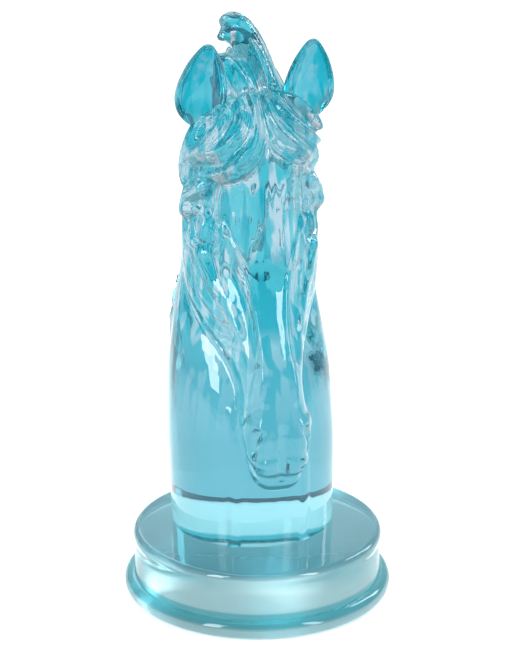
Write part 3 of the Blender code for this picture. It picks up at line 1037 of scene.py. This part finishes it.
@dataclass(frozen=True)
class CastGlass:
    """Turquoise soda-lime glass, cast and then fire-polished.

    To the eye it is clear, with sharp mirrored lights, and deeper in colour where it is thick.
    Its skin ripples faintly, the figure's in upright flutes too and the plinth's wall in level
    striae. The figure's tint is its turquoise darkened with painted shade, and its pale lavender
    and deep upright streaks are painted light and shade that stand in for refraction through the
    glass. The middle of the nose is tinted deep as painted shade, and so is a band in the crease
    over the bead. The ears are tinted a deeper turquoise in swirls. The underside is ground, so
    light that enters there is soft.
    """

    plinth_height: float
    ear_across: float
    ear_height: float

    # The colours of the plinth, of the figure's streaks (the pale lavender one painted light that
    # stands in for dim surroundings seen through the glass, the deep one the glass's turquoise
    # darkened with painted shade), of the crease (painted shade) and of the ears, and the colour
    # that the light keeps on its way through.
    plinth_hex: str = "ffffff"
    painted_pale_streak_hex: str = "abbac6"
    deep_tint_and_shade_hex: str = "1896a9"
    crease_shade_hex: str = "45b8c6"
    ear_hex: str = "0f97ac"
    depth_hex: str = "00dae2"
    depth_density: float = 4.2

    ior: float = 1.5
    polished_roughness: float = 0.01
    ground_roughness: float = 0.45
    ground_height: float = 0.3 * MILLIMETRE

    # The marks, and the height and strength of their relief.
    ripple: Marks = Marks(14.0, raggedness=0.45)
    ripple_height: float = 0.25 * MILLIMETRE
    ripple_strength: float = 0.5
    streaks: Marks = Marks(5.5, (1.0, 1.0, 0.12), detail=1.0)
    flute_height: float = 0.25 * MILLIMETRE
    striae: Marks = Marks(2.6, (0.06, 0.06, 1.0))
    striae_height: float = 0.06 * MILLIMETRE

    # Where the pattern of the painted light and shade streaks turns from pale to deep, the even
    # share of deep colour low on the neck, which is partly painted shade, and the heights between
    # which the streaks come in.
    streak_turn: tuple[float, float] = (0.46, 0.54)
    low_share: float = 0.76
    streaks_from: float = 75.0 * MILLIMETRE
    streaks_full: float = 150.0 * MILLIMETRE

    # Where the swirls in the ears turn, and the least share of the ears' colour.
    swirl_turn: tuple[float, float] = (0.4, 0.6)
    swirl_least: float = 0.65

    # Painted shade on the middle of the nose, which stands in for the darker refraction through it: its
    # half width, the heights that it runs between, and its blend.
    nose_half_width: float = 8.0 * MILLIMETRE
    nose_low: float = 134.0 * MILLIMETRE
    nose_high: float = 180.0 * MILLIMETRE
    nose_blend: float = 10.0 * MILLIMETRE
    # The band of painted shade in the crease between the plinth's wall and its bead: its heights and its
    # blend.
    crease: tuple[float, float] = (6.5 * MILLIMETRE, 11.0 * MILLIMETRE)
    crease_blend: float = 1.5 * MILLIMETRE
    blend: float = 4.0 * MILLIMETRE

    def material(self) -> bpy.types.Material:
        """Makes the glass.

        Returns:
            The material.
        """
        glass = bpy.data.materials.new("turquoise_cast_glass")
        glass.use_nodes = True
        tree = glass.node_tree
        tree.nodes.clear()
        melt = Melt(tree)
        ripple, streaks = melt.marks(self.ripple), melt.marks(self.streaks)
        roughness = add_node(
            tree,
            "Mix",
            {"data_type": "FLOAT", 2: self.ground_roughness, 3: self.polished_roughness},
            {0: melt.zone((Axis.UP, 0.0, self.ground_height))},
        )
        shader = add_node(
            tree,
            "BsdfPrincipled",
            {"IOR": self.ior, "Transmission Weight": 1.0},
            {
                "Normal": self.relief(melt, ripple, streaks),
                "Base Color": self.tint(melt, ripple, streaks),
                "Roughness": roughness.outputs[0],
            },
        )
        depth = add_node(
            tree, "VolumeAbsorption", {"Color": linear(self.depth_hex), "Density": self.depth_density}
        )
        out = {"Surface": shader.outputs["BSDF"], "Volume": depth.outputs["Volume"]}
        add_node(tree, "OutputMaterial", {}, out)
        return glass

    def relief(self, melt: Melt, ripple: Socket, streaks: Socket) -> Socket:
        """Adds the skin's ripple, the figure's flutes and the plinth's striae.

        Args:
            melt: the glass's nodes.
            ripple: the ripple's pattern.
            streaks: the upright streaks' pattern.

        Returns:
            The socket of the skin's normal.
        """
        figure = (Axis.UP, self.streaks_from, self.streaks_full)
        plinth = (Axis.UP, self.plinth_height, self.plinth_height - self.blend)
        flutes = melt.zone(figure, pattern=streaks)
        striae = melt.zone(plinth, pattern=melt.marks(self.striae))
        links: dict[str, Socket] = {}
        for pattern, strength, height in (
            (ripple, self.ripple_strength, self.ripple_height),
            (flutes, 1.0, self.flute_height),
            (striae, 1.0, self.striae_height),
        ):
            links["Height"] = pattern
            bump = add_node(melt.tree, "Bump", {"Strength": strength, "Distance": height}, links)
            links["Normal"] = bump.outputs["Normal"]
        return links["Normal"]

    def tint(self, melt: Melt, ripple: Socket, streaks: Socket) -> Socket:
        """Adds the colours of the glass.

        Args:
            melt: the glass's nodes.
            ripple: the ripple's pattern, which the swirls in the ears follow.
            streaks: the upright streaks' pattern.

        Returns:
            The socket of the colour.
        """
        tree = melt.tree
        # Painted shade: the middle of the nose is tinted deep.
        nose = melt.zone(
            (Axis.ASIDE, self.nose_half_width + self.blend, self.nose_half_width),
            (Axis.BACK, 0.0, -self.nose_blend),
            (Axis.UP, self.nose_low, self.nose_low + self.nose_blend),
            (Axis.UP, self.nose_high, self.nose_high - self.nose_blend),
        )
        # Painted shade: a deeper band in the crease over the bead.
        low, high = self.crease
        crease = melt.zone(
            (Axis.UP, low - self.crease_blend, low), (Axis.UP, high + self.crease_blend, high)
        )
        # Painted light and shade: pale and deep upright streaks stand in for refraction through the glass.
        start, end = self.streak_turn
        turn = {"interpolation_type": "SMOOTHSTEP", "From Min": start, "From Max": end}
        share = add_node(tree, "MapRange", turn, {"Value": streaks}).outputs[0]
        streaked = melt.zone((Axis.UP, self.streaks_from, self.streaks_full))
        even = {"data_type": "FLOAT", 2: self.low_share}
        deep = add_node(tree, "Mix", even, {0: streaked, 3: share})
        deep_share_and_nose_shade = add_node(tree, "Math", {"operation": "MAXIMUM"}, {0: deep.outputs[0], 1: nose})
        # The figure's colour runs from the painted pale streaks to the deep tint with its painted shade;
        # the plinth's runs from clear glass to the painted crease shade.
        on_figure, on_plinth = (
            add_node(tree, "Mix", {"data_type": "RGBA", 6: linear(a), 7: linear(b)}, {0: mask})
            for mask, a, b in (
                (deep_share_and_nose_shade.outputs["Value"], self.painted_pale_streak_hex, self.deep_tint_and_shade_hex),
                (crease, self.plinth_hex, self.crease_shade_hex),
            )
        )
        figure = melt.zone((Axis.UP, self.plinth_height - self.blend, self.plinth_height))
        both = {0: figure, 6: on_plinth.outputs[2], 7: on_figure.outputs[2]}
        cast = add_node(tree, "Mix", {"data_type": "RGBA"}, both).outputs[2]
        start, end = self.swirl_turn
        turn = {"From Min": start, "From Max": end, "To Min": self.swirl_least}
        swirl = add_node(tree, "MapRange", turn, {"Value": ripple})
        ears = melt.zone(
            (Axis.ASIDE, self.ear_across, self.ear_across + self.blend),
            (Axis.UP, self.ear_height, self.ear_height + self.blend),
            pattern=swirl.outputs[0],
        )
        ear_colour = {"data_type": "RGBA", 7: linear(self.ear_hex)}
        return add_node(tree, "Mix", ear_colour, {0: ears, 6: cast}).outputs[2]


@dataclass(frozen=True)
class PaleFloor:
    """A plain pale light table of matt opal acrylic that runs out of sight.

    To the eye it is white and even, without a mirrored light, and its glow reaches the underside
    of the plinth.
    """

    colour_hex: str = "fbfbfb"
    roughness: float = 0.9
    glow: float = 0.45
    size: float = 60.0
    gap: float = 0.3 * MILLIMETRE

    def build(self) -> Object:
        """Makes the floor.

        Returns:
            The floor.
        """
        deselect_all()
        bpy.ops.mesh.primitive_plane_add(size=self.size, location=(0, 0, -self.gap))
        floor = bpy.context.object
        floor.name = "studio_floor"
        acrylic = bpy.data.materials.new("matt_opal_acrylic")
        acrylic.use_nodes = True
        shader = acrylic.node_tree.nodes["Principled BSDF"]
        for name in ("Base Color", "Emission Color"):
            shader.inputs[name].default_value = linear(self.colour_hex)
        shader.inputs["Roughness"].default_value = self.roughness
        shader.inputs["Emission Strength"].default_value = self.glow
        floor.data.materials.append(acrylic)
        return floor


@dataclass(frozen=True)
class SoftLight:
    """One area light: where it hangs from its target, in degrees and metres, the metres that it
    measures across and up, and its watts."""

    name: str
    azimuth: float
    elevation: float
    distance: float
    width: float
    height: float
    power: float

    def build(self, target: Vector) -> Object:
        """Hangs the light.

        Args:
            target: the place that it looks at.

        Returns:
            The light.
        """
        a, e = math.radians(self.azimuth), math.radians(self.elevation)
        back = Vector((math.sin(a) * math.cos(e), -math.cos(a) * math.cos(e), math.sin(e)))
        data = bpy.data.lights.new(self.name, "AREA")
        data.shape = "RECTANGLE"
        data.size = self.width
        data.size_y = self.height
        data.energy = self.power
        lamp = bpy.data.objects.new(self.name, data)
        bpy.context.scene.collection.objects.link(lamp)
        lamp.location = target + back * self.distance
        lamp.rotation_euler = (-back).to_track_quat("-Z", "Y").to_euler()
        return lamp


@dataclass(frozen=True)
class Studio:
    """The floor, the lights and the camera.

    The sky is dimmer in front of the horse than behind it, and turns between two places along Y
    on a ball of radius 1. The camera's distance, place and lens are fitted to the photograph.
    """

    azimuth: float = -14.0
    pitch: float = 19.4
    distance: float = 1.1
    focal_pixels: float = 2318.0
    sensor_width: float = 36.0
    frame_pixels: tuple[int, int] = (506, 654)
    target: Point = (0.0, 0.0, 0.133)
    slide: float = -0.0021
    sky_hex: str = "ffffff"
    sky_behind: float = 0.8
    sky_in_front: float = 0.3
    sky_turn: tuple[float, float] = (-0.6, 1.0)
    light_bounces: int = 32
    lights: tuple[SoftLight, ...] = (
        SoftLight("softbox_left", -53, 30, 1.5, 0.36, 0.9, 11),
        SoftLight("softbox_right", 37, 30, 1.5, 0.26, 0.9, 8),
        SoftLight("softbox_back", 112, 30, 1.5, 0.26, 0.8, 6),
    )
    sweep_light: SoftLight = SoftLight("sweep_light", 180, 89, 1.1, 0.5, 2.4, 7)
    sweep_target: Point = (0.0, 1.1, 0.0)

    def build(self) -> None:
        """Sets the studio up."""
        PaleFloor().build()
        for light in self.lights:
            light.build(Vector(self.target))
        self.sweep_light.build(Vector(self.sweep_target))
        world = bpy.data.worlds.new("studio")
        world.use_nodes = True
        tree = world.node_tree
        background = tree.nodes["Background"]
        background.inputs["Color"].default_value = linear(self.sky_hex)
        way = add_node(tree, "TexCoord")
        axes = add_node(tree, "SeparateXYZ", {}, {"Vector": way.outputs["Generated"]})
        strength = add_node(
            tree,
            "MapRange",
            {
                "interpolation_type": "SMOOTHSTEP",
                "From Min": self.sky_turn[0],
                "From Max": self.sky_turn[1],
                "To Min": self.sky_in_front,
                "To Max": self.sky_behind,
            },
            {"Value": axes.outputs["Y"]},
        )
        tree.links.new(strength.outputs["Result"], background.inputs["Strength"])
        scene = bpy.context.scene
        scene.world = world
        scene.view_settings.view_transform = "Standard"
        for kind in ("max", "transmission", "glossy"):
            setattr(scene.cycles, kind + "_bounces", self.light_bounces)
        self.add_camera()

    def add_camera(self) -> None:
        """Sets the camera at the photograph's viewing angle."""
        a, e = math.radians(self.azimuth), math.radians(self.pitch)
        back = Vector((math.sin(a) * math.cos(e), -math.cos(a) * math.cos(e), math.sin(e)))
        right = Vector((math.cos(a), math.sin(a), 0))
        up = back.cross(right)
        data = bpy.data.cameras.new("camera")
        data.sensor_width = self.sensor_width
        data.lens = data.sensor_width * self.focal_pixels / max(self.frame_pixels)
        camera = bpy.data.objects.new("camera", data)
        bpy.context.scene.collection.objects.link(camera)
        place = Vector(self.target) + right * self.slide + back * self.distance
        turn = Matrix((right, up, back)).transposed().to_4x4()
        camera.matrix_world = Matrix.Translation(place) @ turn
        bpy.context.scene.camera = camera


def build_casting() -> Object:
    """Makes the one casting in place of the plain solid.

    Returns:
        The casting.
    """
    low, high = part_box(NODE)
    plinth = Plinth(rim_radius=high.x)
    grid = SculptorsGrid(square=high.z / SQUARES_TALL, ground=plinth.height)
    casting = Figure().build(grid)
    for side in Side:
        fused(casting, Ear(side).build(grid))
    fused(casting, plinth.build())
    casting.name = "turquoise_glass_horse_head"
    casting.data.materials.clear()
    ear_across, ear_height = EAR_MASK
    glass = CastGlass(
        plinth_height=grid.ground,
        ear_across=ear_across * grid.square,
        ear_height=grid.ground + ear_height * grid.square,
    )
    casting.data.materials.append(glass.material())
    activate(casting)
    bpy.ops.object.shade_smooth_by_angle(angle=SMOOTH_ANGLE)
    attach(casting, BODY)
    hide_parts(NODE)
    log.info("casting: %d faces", len(casting.data.polygons))
    return casting


def main() -> None:
    """Builds the ornament and its studio."""
    logging.basicConfig(level=logging.INFO, format="%(name)s: %(message)s")
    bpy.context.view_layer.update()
    build_casting()
    Studio().build()


if __name__ == "__main__":
    main()
